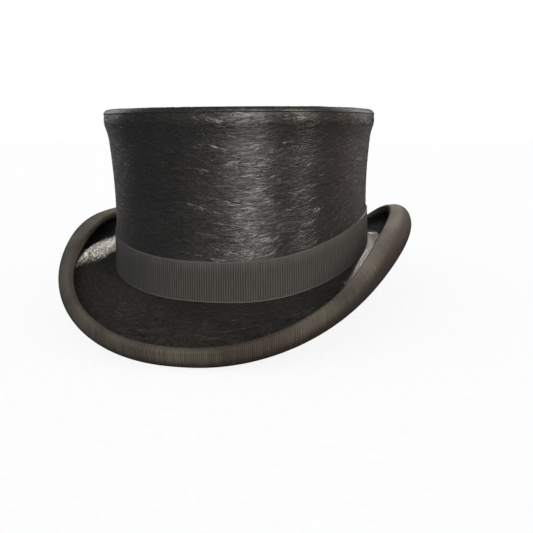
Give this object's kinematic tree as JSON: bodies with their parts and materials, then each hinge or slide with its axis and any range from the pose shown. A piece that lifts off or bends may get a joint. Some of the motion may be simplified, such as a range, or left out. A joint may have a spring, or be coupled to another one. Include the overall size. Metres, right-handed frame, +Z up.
{
  "type": "top hat",
  "caption": "Silk top hat: waisted oval crown, ribbon band with flat bow, curled brim with ribbon binding, leather sweatband and satin lining.",
  "frame": {"origin": "bottom centre of the bounding box: the brim rests on z = 0 at its front and back", "axes": "+Z up, -Y the way the wearer faces, +X the wearer's left, the side that has the bow"},
  "size_m": [0.2304, 0.3282, 0.1249],
  "materials": {
    "gossamer": "shellac-stiffened cloth, matte tan",
    "calico": "unbleached stiffened cotton strip",
    "crown_plush": "black silk plush, laid nap with a soft sheen",
    "brim_plush": "black silk plush, ruffled nap",
    "underbrim_cloth": "fine black wool cloth",
    "binding_ribbon": "ribbed ribbon, black faded to warm grey-brown",
    "band_ribbon": "ribbed charcoal ribbon",
    "lining_satin": "ivory satin",
    "sweatband_leather": "tan leather, semi-matte",
    "bow_ribbon": "narrow black satin ribbon"
  },
  "bodies": {
    "root": {"crown_shell": "gossamer", "tip_shell": "gossamer", "brim_shell": "gossamer", "joint_strip": "calico", "crown_plush": "crown_plush", "tip_plush": "crown_plush", "brim_plush": "brim_plush", "underbrim_cloth": "underbrim_cloth", "brim_binding": "binding_ribbon", "hat_band": "band_ribbon", "bow_front_loop": "band_ribbon", "bow_back_loop": "band_ribbon", "bow_knot": "band_ribbon", "side_lining": "lining_satin", "tip_lining": "lining_satin", "sweatband": "sweatband_leather", "sweatband_reed": "sweatband_leather", "sweatband_bow": "bow_ribbon"}
  },
  "joints": []
}
